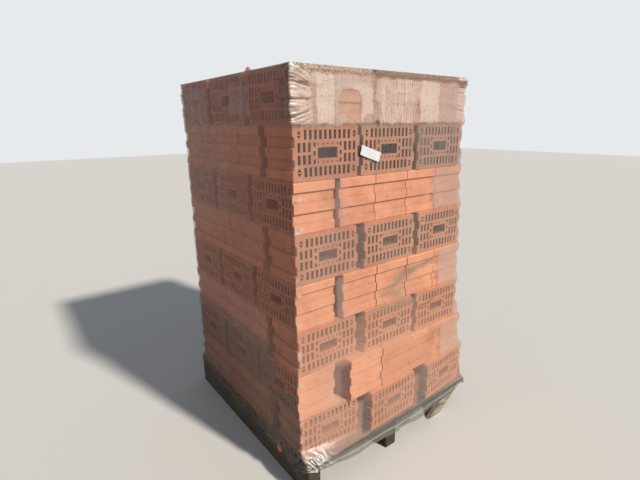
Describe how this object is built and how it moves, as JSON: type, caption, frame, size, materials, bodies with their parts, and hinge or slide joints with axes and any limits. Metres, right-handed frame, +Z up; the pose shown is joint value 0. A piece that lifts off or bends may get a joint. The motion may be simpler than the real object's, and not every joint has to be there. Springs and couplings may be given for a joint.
{
  "type": "loaded pallet of hollow clay blocks",
  "caption": "Timber pallet stacked with crossed layers of perforated hollow clay blocks, wound in clear plastic film, with fork pockets under the deck.",
  "frame": {"origin": "on the ground under the middle of the pallet", "axes": "+Z up; -Y is the front, the side that carries the paper tag; X runs along that front; the pallet's bearers and fork pockets run along Y"},
  "size_m": [1.033, 1.063, 1.6615],
  "materials": {
    "fired_clay": "matte fired clay, dusty",
    "pallet_timber": "weathered rough sawn softwood",
    "clear_film": "clear to milky stretch film, wrinkled and dirty",
    "paper": "plain white paper, matte"
  },
  "bodies": {
    "root": {"layer_1_end_blocks": "fired_clay", "layer_1_side_blocks": "fired_clay", "layer_2_end_blocks": "fired_clay", "layer_2_side_blocks": "fired_clay", "layer_3_end_blocks": "fired_clay", "layer_3_side_blocks": "fired_clay", "layer_4_end_blocks": "fired_clay", "layer_4_side_blocks": "fired_clay", "layer_5_end_blocks": "fired_clay", "layer_5_side_blocks": "fired_clay", "layer_6_end_blocks": "fired_clay", "layer_6_side_blocks": "fired_clay", "layer_7_end_blocks": "fired_clay", "layer_7_side_blocks": "fired_clay", "layer_8_end_blocks": "fired_clay", "layer_8_side_blocks": "fired_clay", "hidden_blocks": "fired_clay", "deck_boards": "pallet_timber", "left_bearer": "pallet_timber", "middle_bearer": "pallet_timber", "right_bearer": "pallet_timber", "loose_board": "pallet_timber", "film": "clear_film", "paper_tag": "paper"}
  },
  "joints": []
}
